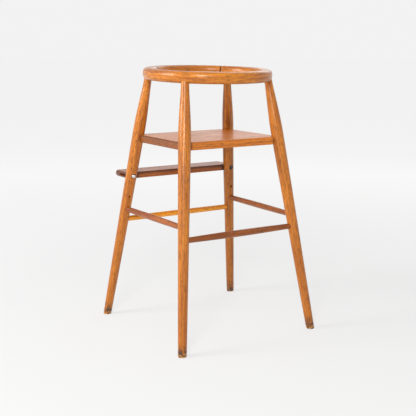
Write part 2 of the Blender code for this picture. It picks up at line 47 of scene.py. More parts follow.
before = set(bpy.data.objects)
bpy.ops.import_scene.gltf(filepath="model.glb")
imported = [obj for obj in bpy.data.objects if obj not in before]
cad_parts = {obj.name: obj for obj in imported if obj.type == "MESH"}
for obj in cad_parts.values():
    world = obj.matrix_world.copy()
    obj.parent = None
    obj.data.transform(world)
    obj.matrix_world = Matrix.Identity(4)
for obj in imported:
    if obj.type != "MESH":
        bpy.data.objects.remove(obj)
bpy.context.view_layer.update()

MM = 0.001
LEFT_RIGHT = {"left": 1, "right": -1}
CORNERS = {
    "front_left": (1, -1),
    "front_right": (-1, -1),
    "rear_left": (1, 1),
    "rear_right": (-1, 1),
}
# Leg axes: a head point under the hoop and a foot point on the floor.
HEAD = Vector((0.140, 0.1084, 0.725))
FOOT_Y = 0.2245
FOOT_X = {"front": 0.2329, "rear": 0.2216}
LEG_HEIGHTS = (0.0, 0.075, 0.170, 0.310, 0.420, 0.520, 0.590, 0.618, 0.650, 0.690, 0.715, 0.76)
LEG_DIAMETERS = (
    0.0240, 0.0260, 0.0280, 0.0307, 0.0330, 0.0348, 0.0357, 0.0344, 0.0309, 0.0262, 0.0226, 0.0222,
)
STRETCHERS = {
    # name: (corner, corner, height, diameter at the middle, finish)
    "stretcher_left": ("front_left", "rear_left", 0.3418, 0.0180, "russet"),
    "stretcher_right": ("front_right", "rear_right", 0.3418, 0.0180, "umber"),
    "stretcher_back": ("rear_left", "rear_right", 0.3080, 0.0195, "umber"),
    "stretcher_front": ("front_left", "front_right", 0.3088, 0.0172, "honey"),
}
STRETCHER_END_D = 0.0160
STRETCHER_PLAIN = 0.024
# Hoop: circle of this radius on a plane that drops towards the back.
HOOP_Z = 0.748
HOOP_TILT = atan(0.0376)
HOOP_R = 0.1710
HOOP_SIDE = 0.0334
HINGE_ANGLE = -50.5
LATCH_ANGLE = -137.5
GATE_GAP = 1.5 * MM
GLUE_LINE = 0.12 * MM  # drawn in at each end of a glued arc
PIN_R = HOOP_R + HOOP_SIDE / 2 + 0.8 * MM
HOOP_ARCS = {
    # name: (start, end, body) in degrees round the hoop
    "hoop_left": (HINGE_ANGLE, 55.0, "frame"),
    "hoop_back": (55.0, 125.0, "frame"),
    "hoop_right": (125.0, LATCH_ANGLE + 360, "frame"),
    "gate": (LATCH_ANGLE, HINGE_ANGLE, "gate"),
}
SUPPORT = 0.4 * MM  # a row this close to a rounding keeps the flat beside it flat
SHARP_ANGLE = radians(32)
# Moves of the wood's own coordinates: two across the fibres, then one along them.
LEG_GRAIN = {
    "front_left": (0.030, 0.012, 1.3),
    "front_right": (0.004, 0.009, 4.1),
    "rear_left": (0.026, -0.020, 7.7),
    "rear_right": (-0.034, 0.016, 2.9),
}
HOOP_GRAIN = (0.02, 0.012, 0.0)
GATE_GRAIN = (0.05, 0.004, 8.0)
SEAT_GRAIN = (0.004, 0.06, 2.2)
FOOTREST_GRAIN = (0.03, 0.05, 6.1)
# Turning: rows up a leg, and passes of the running mean that soften its profile.
FOOT_ROUNDING = 1.6 * MM
FOOT_ROWS = 5
LEG_ROWS = 170
LEG_SOFTENING = 12
CUTTER_COLUMNS = 64
SOCKET_COLUMNS = 48
SOCKET_ROOM = 0.1 * MM
COPE_ROOM = 0.2 * MM
# Holes in the front legs, along Y, and the worn rim of the spare one.
BOLT_Z = 0.4440
SPARE_HOLE_Z = 0.3793
HOLE_R = 3.25 * MM
WASHER_SEAT_R = 7.3 * MM
WASHER_SEAT_ROOM = 0.3 * MM
RIM_START = LEG_DIAMETERS[3] / 2 - 2.2 * MM
RIM_LENGTH = 0.012
CUT_REACH = 0.03
# Hinge mortise in the hinge's frame, and the radius of the groove for its knuckles.
MORTISE_LOW = (-2.8 * MM, -0.0153, -0.0083)
MORTISE_HIGH = (0.01, 0.0153, 0.0083)
KNUCKLE_R = 2.85 * MM
# Pockets of the catch: from, to and radius, along its axis from the middle of the gap.
CATCH_HEIGHT = 4 * MM
BARREL_POCKET = (-13.8 * MM, 1 * MM, 3.7 * MM)
FLANGE_POCKET = (-1.85 * MM, 1 * MM, 4.9 * MM)
STRIKE_POCKET = (-1 * MM, 2.05 * MM, 5.7 * MM)
# Footrest: half the width of its bolt slots, where they stop, and the nuts' pockets.
SLOT_HALF = 3.3 * MM
SLOT_FRONT = -0.2030
SLOT_RUNOUT = 0.01
NUT_POCKET = ((-0.02, 5.3 * MM), (7.3 * MM, 5.3 * MM))
FOOTREST_BACK_ROUNDING = 3 * MM
SEAT_END_SHARE = 0.9  # rounding of the seat's ends as a share of that of its long edges
# Footrest bolts: a domed head with a slot, a shank and its tip.
HEAD_HEIGHT = 3.8 * MM
HEAD_DOME = 0.55  # share of the head's height that is domed
HEAD_R = 5.5 * MM
HEAD_FALL = 2.6 * MM
HEAD_EASE = 0.2 * MM
SHANK_R = 3 * MM
TIP_R = 2.3 * MM
TIP_LENGTH = 0.8 * MM
SCREW_SLOT_HALF = 0.7 * MM
SCREW_SLOT_DEPTH = 1.5 * MM
SCREW_SLOT_REACH = 0.01
HARDWARE_FINISHES = {
    # start of the node's name: finish, the first that fits
    "hinge": "brass",
    "catch_spring": "zinc",
    "catch": "brass",
    "seat_dowel": "beech",
    "hoop_dowel": "beech",
    # Washers and nuts in black steel: partly their dark finish, partly painted shade inside the
    # footrest's slots.
    "footrest_washer": "black_steel",
    "footrest_nut": "black_steel",
}
# Layers of noise in the wood: scale across, across and along the fibres, detail,
# roughness, and the two levels of noise that become 0 and 1.
WOOD_LAYERS = {
    "slow": ((60, 60, 7), 3.0, 0.55, 0.38, 0.64),
    "streaks": ((420, 420, 12), 4.0, 0.62, 0.38, 0.64),
    "pores": ((1500, 1500, 60), 2.0, 0.55, 0.58, 0.68),
    "dashes": ((330, 330, 60), 3.0, 0.65, 0.56, 0.66),
    "blots": ((170, 170, 46), 4.0, 0.70, 0.54, 0.68),
    "core": ((95, 95, 4.0), 4.0, 0.6, 0.47, 0.58),
    "spots": ((170, 170, 170), 4.0, 0.7, 0.47, 0.60),
    "scuff": ((150, 150, 90), 3.0, 0.55, 0.38, 0.56),
    "rub": ((120, 120, 160), 2.0, 0.55, 0.52, 0.60),
}
SCUFF_COLOR = (0.06, 0.028, 0.016, 1)
RUBBED_COLOR = (0.60, 0.36, 0.13, 1)
# Strength of the painted shade on the upper part of each board's back face.
BACK_EDGE_SHADE = {"seat": 0.10, "footrest_board": 0.75}
# Stage: a ring-shaped slab of paper, area lights that aim at the chair, and the camera.
FLOOR_PROFILE = ((0.01, -0.0002), (60.0, -0.0002), (60.0, -0.01), (0.01, -0.01))
FLOOR_COLUMNS = 96
GLOW_NEAR = 0.8
GLOW_FAR = 3.2
LIGHT_AIM = Vector((0, 0, 0.55))
SOFTBOXES = {
    # name: (turn from the camera in degrees, reach, height, width, tall, share of the key)
    "softbox_front": (-9, 3.0, 1.75, 0.8, 1.2, 0.85),
    "softbox_back": (160, 3.2, 2.3, 2.6, 1.6, 0.25),
    "softbox_left": (-72, 3.0, 1.75, 1.2, 1.4, 1.0),
}
CAMERA_X = 1.2840
CAMERA_Y = 2.0480
SENSOR_WIDTH = 36.0


class HighChairShape(PropertyGroup):
    """Rounding and fineness of the wooden pieces"""

    hoop_squareness: FloatProperty(
        name="Hoop squareness", description="2 is a round section, 4 a nearly square one",
        default=2.8,
    )
    gate_rounding: FloatProperty(
        name="Gate end rounding", description="Rounding of the gate's ends", default=0.0055,
        unit="LENGTH",
    )
    joint_rounding: FloatProperty(
        name="Joint rounding", description="Rounding at the hoop's glued joints", default=0.0002,
        unit="LENGTH",
    )
    foot_rounding: FloatProperty(
        name="Foot rounding", description="Worn rounding round each foot", default=FOOT_ROUNDING,
        unit="LENGTH",
    )
    seat_rounding: FloatProperty(
        name="Seat rounding", description="Rounding of the seat's edges", default=0.0034,
        unit="LENGTH",
    )
    nose_rounding: FloatProperty(
        name="Footrest nose", description="Rounding of the footrest's front edge", default=0.0078,
        unit="LENGTH",
    )
    columns: IntProperty(name="Columns", description="Columns round a turned piece", default=64)


class HighChairFinish(PropertyGroup):
    """Colours of the wood and metal"""

    amber_light: FloatVectorProperty(
        name="Amber light", description="Early wood of the legs and hoop", subtype="COLOR",
        size=3, default=(0.74, 0.25, 0.018),
    )
    amber_dark: FloatVectorProperty(
        name="Amber dark", description="Late wood of the legs and hoop", subtype="COLOR",
        size=3, default=(0.34, 0.085, 0.006),
    )
    russet_light: FloatVectorProperty(
        name="Russet light", description="Early wood of the left stretcher", subtype="COLOR",
        size=3, default=(0.46, 0.118, 0.008),
    )
    russet_dark: FloatVectorProperty(
        name="Russet dark", description="Late wood of the left stretcher", subtype="COLOR",
        size=3, default=(0.21, 0.038, 0.003),
    )
    umber_light: FloatVectorProperty(
        name="Umber light", description="Early wood of the darker pieces", subtype="COLOR",
        size=3, default=(0.42, 0.115, 0.009),
    )
    umber_dark: FloatVectorProperty(
        name="Umber dark", description="Late wood of the darker pieces", subtype="COLOR",
        size=3, default=(0.17, 0.036, 0.003),
    )
    honey_light: FloatVectorProperty(
        name="Honey light", description="Early wood of the front stretcher", subtype="COLOR",
        size=3, default=(0.98, 0.4, 0.022),
    )
    honey_dark: FloatVectorProperty(
        name="Honey dark", description="Late wood of the front stretcher", subtype="COLOR",
        size=3, default=(0.7, 0.235, 0.01),
    )
    seat_light: FloatVectorProperty(
        name="Seat light", description="Early wood of the seat", subtype="COLOR",
        size=3, default=(0.86, 0.26, 0.014),
    )
    seat_dark: FloatVectorProperty(
        name="Seat dark", description="Late wood of the seat", subtype="COLOR",
        size=3, default=(0.42, 0.104, 0.006),
    )


class HighChairStage(PropertyGroup):
    """Floor, light and camera"""

    floor_color: FloatVectorProperty(
        name="Floor", description="Colour of the floor", subtype="COLOR", size=3,
        default=(0.28, 0.28, 0.278),
    )
    floor_glow: FloatProperty(
        name="Floor glow", description="Light that the paper passes through at the chair",
        default=0.63,
    )
    far_glow: FloatProperty(
        name="Far glow", description="Light that the paper passes through far away", default=0.76
    )
    backdrop_level: FloatProperty(
        name="Backdrop", description="Brightness of the seen and mirrored room", default=0.89
    )
    sky_level: FloatProperty(
        name="Room light", description="Brightness of the room as soft light", default=0.45
    )
    key_power: FloatProperty(
        name="Key power", description="Power of the front softbox", default=60.0, unit="POWER"
    )
    camera_height: FloatProperty(
        name="Camera height", description="Height of the lens", default=0.8187, unit="LENGTH"
    )
    camera_azimuth: FloatProperty(
        name="Camera azimuth", description="Turn of the view about the vertical",
        default=radians(147.884), subtype="ANGLE",
    )
    camera_drop: FloatProperty(
        name="Camera drop", description="How far the view looks down", default=radians(10.943),
        subtype="ANGLE",
    )
    lens: FloatProperty(name="Lens", description="Focal length in millimetres", default=71.06)


# ---------------------------------------------------------------- surfaces


def solid(name, rows):
    """A closed surface through rows of points, shape (rows, columns, 3).

    Neighbouring rows are joined by quads that wrap round the columns, and the mean point
    of the first and last row closes each end with a fan.  The signed volume decides the
    order of the corners, so that the faces point out.
    """
    count, columns = rows.shape[:2]
    index = np.arange(count * columns).reshape(count, columns)
    right = np.roll(index, -1, axis=1)
    quads = np.stack((index[:-1], right[:-1], right[1:], index[1:]), axis=-1).reshape(-1, 4)
    ends = np.stack((rows[0].mean(axis=0), rows[-1].mean(axis=0)))
    points = np.concatenate((rows.reshape(-1, 3), ends))
    first = np.full(columns, count * columns)
    low_fan = np.stack((first, right[0], index[0]), axis=-1)
    high_fan = np.stack((first + 1, index[-1], right[-1]), axis=-1)
    fans = np.concatenate((low_fan, high_fan))
    corners = points[np.concatenate((quads[:, :3], quads[:, [0, 2, 3]], fans))]
    volume = np.einsum("ij,ij->i", corners[:, 0], np.cross(corners[:, 1], corners[:, 2])).sum()
    if volume < 0:
        quads = quads[:, ::-1]
        fans = fans[:, ::-1]
    mesh = bpy.data.meshes.new(name)
    mesh.from_pydata(points.tolist(), [], quads.tolist() + fans.tolist())
    mesh.shade_smooth()
    mesh.set_sharp_from_angle(angle=SHARP_ANGLE)
    obj = bpy.data.objects.new(name, mesh)
    bpy.context.scene.collection.objects.link(obj)
    return obj


def circle(columns):
    """Cosines and sines of evenly spaced angles round a full turn."""
    turn = 2 * pi * np.arange(columns) / columns
    return np.cos(turn), np.sin(turn)


def lathe(name, profile, start, direction, columns):
    """Circles of the profile's (length, radius) pairs, square to a straight axis."""
    direction = Vector(direction).normalized()
    side = np.array(direction.orthogonal().normalized())
    other = np.cross(np.array(direction), side)
    profile = np.asarray(profile, float)
    cosine, sine = circle(columns)
    ring = cosine[:, None] * side + sine[:, None] * other
    axis = np.array(start) + profile[:, :1] * np.array(direction)
    return solid(name, axis[:, None, :] + profile[:, 1, None, None] * ring[None])


def block(name, low, high, turn=None):
    """A box with rows along Z, from two corners, moved by a matrix; it only cuts."""
    low = np.array(low)
    high = np.array(high)
    x = np.array((low[0], high[0], high[0], low[0]))
    y = np.array((low[1], low[1], high[1], high[1]))
    rows = np.stack([np.stack((x, y, np.full(4, z)), axis=-1) for z in (low[2], high[2])])
    obj = solid(name, rows)
    if turn is not None:
        obj.data.transform(turn)
    return obj


def carve(obj, cutters):
    """Cut each cutter's shape out of the piece's mesh, then delete the cutters."""
    for cutter in cutters:
        change = obj.modifiers.new("carve", "BOOLEAN")
        change.object = cutter
    bpy.context.view_layer.update()
    graph = bpy.context.evaluated_depsgraph_get()
    carved = bpy.data.meshes.new_from_object(obj.evaluated_get(graph))
    obj.modifiers.clear()
    obj.data = carved
    carved.set_sharp_from_angle(angle=SHARP_ANGLE)
    for cutter in cutters:
        bpy.data.objects.remove(cutter)
    return obj


def eased(values, passes):
    """Running three-point mean that keeps both ends."""
    for _ in range(passes):
        middle = (values[:-2] + values[1:-1] + values[2:]) / 3
        values = np.concatenate((values[:1], middle, values[-1:]))
    return values


def vertices(obj):
    """The piece's points as an array of shape (count, 3)."""
    points = np.empty(len(obj.data.vertices) * 3, np.float32)
    obj.data.vertices.foreach_get("co", points)
    return points.reshape(-1, 3).astype(float)


def set_grain(obj, grain):
    """Store the wood's own coordinates: two across the fibres, then one along them."""
    layer = obj.data.attributes.new("grain", "FLOAT_VECTOR", "POINT")
    layer.data.foreach_set("vector", grain.astype(np.float32).ravel())


def straight_grain(obj, start, direction, offset):
    """Distances across and along a straight axis, with the pith moved by offset."""
    direction = Vector(direction).normalized()
    side = direction.orthogonal().normalized()
    axes = np.array((side, direction.cross(side), direction))
    set_grain(obj, (vertices(obj) - np.array(start)) @ axes.T + np.array(offset))


def hoop_matrix():
    """The hoop's own frame: its centre, leaned back by the tilt."""
    return Matrix.Translation((0, 0, HOOP_Z)) @ Matrix.Rotation(-HOOP_TILT, 4, "X")


def bent_grain(obj, offset):
    """Radius, height and arc length in the hoop's frame, as in bent wood."""
    turn = np.array(hoop_matrix().inverted())
    local = vertices(obj) @ turn[:3, :3].T + turn[:3, 3]
    radius = np.hypot(local[:, 0], local[:, 1])
    angle = np.arctan2(local[:, 1], local[:, 0])
    angle = np.where(angle < radians(LATCH_ANGLE - 1), angle + 2 * pi, angle)
    grain = np.stack((radius - HOOP_R, local[:, 2], angle * HOOP_R), axis=-1)
    set_grain(obj, grain + np.array(offset))


def dress(obj, stands_for, material, body="frame"):
    """Give a finished piece its material and body, and hide the node that it stands for."""
    obj.data.materials.clear()
    obj.data.materials.append(material)
    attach(obj, body)
    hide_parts(stands_for)


# ---------------------------------------------------------------- legs


def leg_axis(corner):
    """Foot point on the floor and unit direction up the leg."""
    side, end = CORNERS[corner]
    foot = Vector((side * FOOT_X[corner.split("_")[0]], end * FOOT_Y, 0.0))
    head = Vector((side * HEAD.x, end * HEAD.y, HEAD.z))
    return foot, (head - foot).normalized()


def leg_point(corner, height):
    """Point of the leg's axis at a height above the floor."""
    foot, direction = leg_axis(corner)
    return foot + direction * (height / direction.z)


def leg_top(corner):
    """Height at which the leg's tenon ends inside the hoop."""
    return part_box(f"leg_{corner}")[1].z - 1.5 * MM


def leg_surface(name, corner, columns, foot_rounding, grow=0.0):
    """Level ellipses up a leaning turned leg.

    At each height the row is the section of a round bar that leans: the turning's radius
    across the lean, and that radius over the cosine of the lean along it.  Round the foot
    the radius falls by a quarter circle, and each row is one level, so the foot stands flat.
    """
    foot, direction = leg_axis(corner)
    quarter = foot_rounding * (1 - np.cos(np.linspace(0, pi / 2, FOOT_ROWS)))
    rise = np.linspace(foot_rounding, leg_top(corner), LEG_ROWS)
    heights = np.concatenate((quarter[:-1], rise))
    radii = np.interp(heights, LEG_HEIGHTS, LEG_DIAMETERS) / 2
    radii[FOOT_ROWS:] = eased(radii[FOOT_ROWS:], LEG_SOFTENING)
    short = np.clip(1 - heights / foot_rounding, 0, 1)
    radii -= foot_rounding * (1 - np.sqrt(1 - short**2))
    radii += grow
    lean = np.array((direction.x, direction.y, 0.0))
    lean /= np.linalg.norm(lean)
    across = np.array((-lean[1], lean[0], 0.0))
    cosine, sine = circle(columns)
    ring = cosine[:, None] * lean / direction.z + sine[:, None] * across
    axis = np.array(foot) + heights[:, None] * np.array(direction) / direction.z
    return solid(name, axis[:, None, :] + radii[:, None, None] * ring[None])


def leg_cutters(corner):
    """Bolt hole, flat seating of its washer, spare lower hole and its rim, all along Y."""
    axis = leg_point(corner, BOLT_Z)
    spare = leg_point(corner, SPARE_HOLE_Z)
    seat_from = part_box("footrest_washer_left")[0].y - axis.y - WASHER_SEAT_ROOM
    hole = ((-CUT_REACH, HOLE_R), (CUT_REACH, HOLE_R))
    seating = ((seat_from, WASHER_SEAT_R), (CUT_REACH, WASHER_SEAT_R))
    rim = ((RIM_START, HOLE_R - MM), (RIM_START + RIM_LENGTH, HOLE_R + RIM_LENGTH - MM))
    along = (0, 1, 0)
    return [
        lathe("cut_bolt", hole, axis, along, 32),
        lathe("cut_seating", seating, axis, along, 40),
        lathe("cut_spare", hole, spare, along, 32),
        lathe("cut_rim", rim, spare, along, 32),
    ]


def cope_cutter(corner):
    """A leg grown by a little room, which copes a board round it."""
    return leg_surface("cut_leg", corner, CUTTER_COLUMNS, FOOT_ROUNDING, COPE_ROOM)


class HIGHCHAIR_OT_legs(Operator):
    """Make the four turned legs"""

    bl_idname = "highchair.legs"
    bl_label = "Legs"

    def execute(self, context):
        shape = context.scene.highchair_shape
        for corner, offset in LEG_GRAIN.items():
            name = f"oak_leg_{corner}"
            leg = leg_surface(name, corner, shape.columns, shape.foot_rounding)
            if corner.startswith("front"):
                carve(leg, leg_cutters(corner))
            straight_grain(leg, *leg_axis(corner), offset)
            # The far front right leg takes a darker copy of amber: a dark heartwood core, and
            # painted shade deepening the whole leg.
            key = "amber_heart_shaded" if corner == "front_right" else "amber"
            dress(leg, f"leg_{corner}", MATERIALS[key])
        return {"FINISHED"}


# ---------------------------------------------------------------- stretchers


class HIGHCHAIR_OT_stretchers(Operator):
    """Make the four round stretchers"""

    bl_idname = "highchair.stretchers"
    bl_label = "Stretchers"

    def execute(self, context):
        columns = context.scene.highchair_shape.columns // 2
        for number, (name, facts) in enumerate(STRETCHERS.items()):
            first, second, height, middle, finish = facts
            start = leg_point(first, height)
            end = leg_point(second, height)
            length = (end - start).length
            share = np.linspace(0, 1, 48)
            radii = STRETCHER_END_D / 2 + (middle - STRETCHER_END_D) / 2 * np.sin(pi * share)
            along = STRETCHER_PLAIN + (length - 2 * STRETCHER_PLAIN) * share
            radii = np.concatenate((radii[:1], radii, radii[-1:]))
            along = np.concatenate(((0.0,), along, (length,)))
            profile = np.stack((along, radii), axis=-1)
            rail = lathe(f"oak_{name}", profile, start, end - start, columns)
            straight_grain(rail, start, end - start, (0.02, 0.011 * number, 1.7 * number))
            dress(rail, name, MATERIALS[finish])
        return {"FINISHED"}


# ---------------------------------------------------------------- hoop and gate


def hoop_surface(name, start, end, rounding, squareness, inset):
    """A superellipse carried round part of a circle.

    The section at each angle is |x|^n + |y|^n = 1 scaled to half the hoop's side.  Near an
    end the half side falls along a quarter circle of the rounding's radius.
    """
    half = HOOP_SIDE / 2
    length = radians(end - start) * HOOP_R - 2 * inset
    quarter = rounding * (1 - np.cos(np.linspace(0, pi / 2, 6)))
    inner = rounding + SUPPORT
    middle = np.linspace(inner, length - inner, int(length / (2.2 * MM)))
    along = np.concatenate((quarter, middle, length - quarter[::-1]))
    near = np.minimum(along, length - along)
    short = np.clip(1 - near / rounding, 0, 1)
    halves = half - rounding * (1 - np.sqrt(1 - short**2))
    angle = radians(start) + (along + inset) / HOOP_R
    cosine, sine = circle(56)
    power = 2 / squareness
    across = np.sign(cosine) * np.abs(cosine) ** power
    up = np.sign(sine) * np.abs(sine) ** power
    radius = HOOP_R + halves[:, None] * across
    height = halves[:, None] * up
    x = radius * np.cos(angle)[:, None]
    y = radius * np.sin(angle)[:, None]
    turn = np.array(hoop_matrix())
    rows = np.stack((x, y, height), axis=-1) @ turn[:3, :3].T + turn[:3, 3]
    return solid(name, rows)


def hinge_matrix():
    """The hinge's frame: pin on Z, +X out of the hoop, +Y towards its left side."""
    angle = radians(HINGE_ANGLE)
    pin = Matrix.Translation((PIN_R * cos(angle), PIN_R * sin(angle), 0))
    return hoop_matrix() @ pin @ Matrix.Rotation(angle, 4, "Z")


def hinge_cutters():
    """The hinge's mortise, and a groove for its knuckles."""
    turn = hinge_matrix()
    mortise = block("cut_mortise", MORTISE_LOW, MORTISE_HIGH, turn)
    up = turn.to_3x3() @ Vector((0, 0, 1))
    knuckles = ((-CUT_REACH, KNUCKLE_R), (CUT_REACH, KNUCKLE_R))
    groove = lathe("cut_groove", knuckles, turn.translation, up, 40)
    return [mortise, groove]


def latch_cutter(near, far, radius):
    """A round pocket along the catch's axis, from near to far of the gap's middle."""
    angle = radians(LATCH_ANGLE)
    at = hoop_matrix() @ Vector((HOOP_R * cos(angle), HOOP_R * sin(angle), CATCH_HEIGHT))
    away = hoop_matrix().to_3x3() @ Vector((sin(angle), -cos(angle), 0))
    return lathe("cut_latch", ((near, radius), (far, radius)), at, away, 40)


class HIGHCHAIR_OT_hoop(Operator):
    """Make the hoop's three arcs and the gate"""

    bl_idname = "highchair.hoop"
    bl_label = "Hoop and gate"

    def execute(self, context):
        shape = context.scene.highchair_shape
        sockets = {
            "hoop_left": ("front_left", "rear_left"),
            "hoop_right": ("front_right", "rear_right"),
        }
        for part, (start, end, body) in HOOP_ARCS.items():
            gate = part == "gate"
            rounding = shape.gate_rounding if gate else shape.joint_rounding
            inset = GATE_GAP / 2 if gate else GLUE_LINE
            arc = hoop_surface(f"oak_{part}", start, end, rounding, shape.hoop_squareness, inset)
            cutters = []
            if part in ("gate", "hoop_left"):
                cutters += hinge_cutters()
            if gate:
                cutters.append(latch_cutter(*BARREL_POCKET))
                cutters.append(latch_cutter(*FLANGE_POCKET))
            if part == "hoop_right":
                cutters.append(latch_cutter(*STRIKE_POCKET))
            for corner in sockets.get(part, ()):
                cutters.append(
                    leg_surface("cut_leg", corner, SOCKET_COLUMNS, shape.foot_rounding, SOCKET_ROOM)
                )
            if cutters:
                carve(arc, cutters)
            bent_grain(arc, GATE_GRAIN if gate else HOOP_GRAIN)
            dress(arc, part, MATERIALS["gate" if gate else "hoop"], body)
        return {"FINISHED"}


# ---------------------------------------------------------------- boards


def rounded_outline(low, high, radii):
    """Outline of a (y, z) rectangle whose corners are arcs, anticlockwise from low y.

    A point just before and after each arc keeps the flats flat.
    """
    low_y, low_z = low
    high_y, high_z = high
    back, front = radii
    centres = (
        (low_y + front, low_z + front, front, 180),
        (high_y - back, low_z + back, back, 270),
        (high_y - back, high_z - back, back, 0),
        (low_y + front, high_z - front, front, 90),
    )
    arcs = []
    for y, z, radius, first in centres:
        turn = np.radians(first + np.linspace(0, 90, 8))
        arc = np.stack((y + radius * np.cos(turn), z + radius * np.sin(turn)), axis=-1)
        ahead = SUPPORT * np.stack((-np.sin(turn), np.cos(turn)), axis=-1)
        arcs += [arc[:1] - ahead[:1], arc, arc[-1:] + ahead[-1:]]
    return np.concatenate(arcs)


def board_surface(name, board, back, front, end):
    """A rounded (y, z) outline carried along X, drawn in along a quarter circle at each end.

    Drawing in shrinks the outline about its centre, so that each half side loses the end
    rounding less its quarter circle.
    """
    low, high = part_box(board)
    outline = rounded_outline((low.y, low.z), (high.y, high.z), (back, front))
    centre = np.array((low.y + high.y, low.z + high.z)) / 2
    half = np.array((high.y - low.y, high.z - low.z)) / 2
    turn = np.linspace(0, pi / 2, 9)
    inward = end * (1 - np.sin(turn))
    x_low = low.x + end * (1 - np.cos(turn))
    middle = np.linspace(low.x + end + SUPPORT, high.x - end - SUPPORT, 40)
    x = np.concatenate((x_low, middle, (low.x + high.x - x_low)[::-1]))
    depth = np.concatenate((inward, np.zeros(len(middle)), inward[::-1]))
    share = (half - depth[:, None]) / half
    rows = centre + (outline - centre)[None] * share[:, None, :]
    x_rows = np.broadcast_to(x[:, None, None], (*rows.shape[:2], 1))
    return solid(name, np.concatenate((x_rows, rows), axis=-1))


class HIGHCHAIR_OT_seat(Operator):
    """Make the seat board, coped round the legs"""

    bl_idname = "highchair.seat"
    bl_label = "Seat"

    def execute(self, context):
        shape = context.scene.highchair_shape
        edge = shape.seat_rounding
        seat = board_surface("oak_seat", "seat", edge, edge, SEAT_END_SHARE * edge)
        carve(seat, [cope_cutter(corner) for corner in CORNERS])
        middle = sum(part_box("seat"), Vector()) / 2
        straight_grain(seat, middle, (1, 0, 0), SEAT_GRAIN)
        dress(seat, "seat", MATERIALS["seat"])
        return {"FINISHED"}


class HIGHCHAIR_OT_footrest(Operator):
    """Make the footrest board with its end slots"""

    bl_idname = "highchair.footrest"
    bl_label = "Footrest"

    def execute(self, context):
        shape = context.scene.highchair_shape
        low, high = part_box("footrest_board")
        nose = shape.nose_rounding
        board = board_surface(
            "oak_footrest", "footrest_board", FOOTREST_BACK_ROUNDING, nose, nose
        )
        cutters = []
        for name, side in LEFT_RIGHT.items():
            corner = f"front_{name}"
            axis = leg_point(corner, BOLT_Z)
            nut_low, nut_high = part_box(f"footrest_nut_{name}")
            ends = sorted((side * (abs(axis.x) - SLOT_HALF), side * (high.x + SLOT_RUNOUT)))
            slot_low = (ends[0], SLOT_FRONT, BOLT_Z - SLOT_HALF)
            slot_high = (ends[1], axis.y, BOLT_Z + SLOT_HALF)
            cutters += [
                cope_cutter(corner),
                block("cut_slot", slot_low, slot_high),
                lathe("cut_nut", NUT_POCKET, (nut_low + nut_high) / 2, (0, 0, 1), 40),
            ]
        carve(board, cutters)
        straight_grain(board, (low + high) / 2, (1, 0, 0), FOOTREST_GRAIN)
        dress(board, "footrest_board", MATERIALS["footrest"], "footrest")
        return {"FINISHED"}


# ---------------------------------------------------------------- hardware


class HIGHCHAIR_OT_bolts(Operator):
    """Make the two slotted footrest bolts, and finish the other metal and the dowels"""

    bl_idname = "highchair.bolts"
    bl_label = "Bolts and hardware"

    def execute(self, context):
        for name, side in LEFT_RIGHT.items():
            bolt_node = f"footrest_bolt_{name}"
            low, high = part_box(bolt_node)
            middle = (low + high) / 2
            under_head = high.y - HEAD_HEIGHT
            domed = HEAD_HEIGHT * HEAD_DOME
            crown = np.linspace(0, pi / 2, 9)
            dome_y = high.y - domed + domed * np.sin(crown)
            dome_r = HEAD_R - HEAD_FALL * (1 - np.cos(crown))
            pairs = [
                (low.y, TIP_R),
                (low.y + TIP_LENGTH, SHANK_R),
                (under_head, SHANK_R),
                (under_head, HEAD_R - HEAD_EASE),
                (under_head + HEAD_EASE, HEAD_R),
            ]
            profile = np.concatenate((pairs, np.stack((dome_y, dome_r), axis=-1)))
            bolt = lathe(f"steel_bolt_{name}", profile, (middle.x, 0, middle.z), (0, 1, 0), 48)
            reach = SCREW_SLOT_REACH
            slot_low = (middle.x - reach, high.y - SCREW_SLOT_DEPTH, middle.z - SCREW_SLOT_HALF)
            slot_high = (middle.x + reach, high.y + MM, middle.z + SCREW_SLOT_HALF)
            carve(bolt, [block("cut_screw_slot", slot_low, slot_high)])
            # The right bolt takes black steel as painted shade, because its head sits in shade; the
            # left one stays zinc.
            finish = "zinc" if side > 0 else "black_steel"
            dress(bolt, bolt_node, MATERIALS[finish], f"bolt_{name}")
        for part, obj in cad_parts.items():
            for start, key in HARDWARE_FINISHES.items():
                if part.startswith(start):
                    obj.data.materials.clear()
                    obj.data.materials.append(MATERIALS[key])
                    break
        return {"FINISHED"}


# ---------------------------------------------------------------- materials

MATERIALS = {}


def fresh_material(name):
    """A new material, its node tree and its Principled shader."""
    material = bpy.data.materials.new(name)
    material.use_nodes = True
    tree = material.node_tree
    return material, tree, tree.nodes["Principled BSDF"]


def node(tree, kind, inputs=(), **settings):
    """Add a node, set its attributes, and link or set its inputs by name or number."""
    made = tree.nodes.new(kind)
    for key, value in settings.items():
        setattr(made, key, value)
    for key, value in dict(inputs).items():
        if isinstance(value, bpy.types.NodeSocket):
            tree.links.new(value, made.inputs[key])
        else:
            made.inputs[key].default_value = value
    return made


def stretched(tree, source, scale, detail, rough=0.55):
    """Noise whose cells are long along the fibres: source times a scale per axis."""
    sized = node(tree, "ShaderNodeVectorMath", {0: source, 1: scale}, operation="MULTIPLY")
    facts = {"Vector": sized.outputs[0], "Scale": 1.0, "Detail": detail, "Roughness": rough}
    return node(tree, "ShaderNodeTexNoise", facts).outputs["Fac"]


def wood_layer(tree, source, name):
    """One layer of noise from the table, spread between its two levels."""
    scale, detail, rough, low, high = WOOD_LAYERS[name]
    return between(tree, stretched(tree, source, scale, detail, rough), low, high)


def between(tree, value, low, high, to_low=0.0, to_high=1.0):
    """Map a value's range onto another, clamped."""
    facts = {"Value": value, "From Min": low, "From Max": high, "To Min": to_low, "To Max": to_high}
    return node(tree, "ShaderNodeMapRange", facts).outputs["Result"]


def arithmetic(tree, operation, first, second):
    """One Math node."""
    return node(tree, "ShaderNodeMath", {0: first, 1: second}, operation=operation).outputs[0]


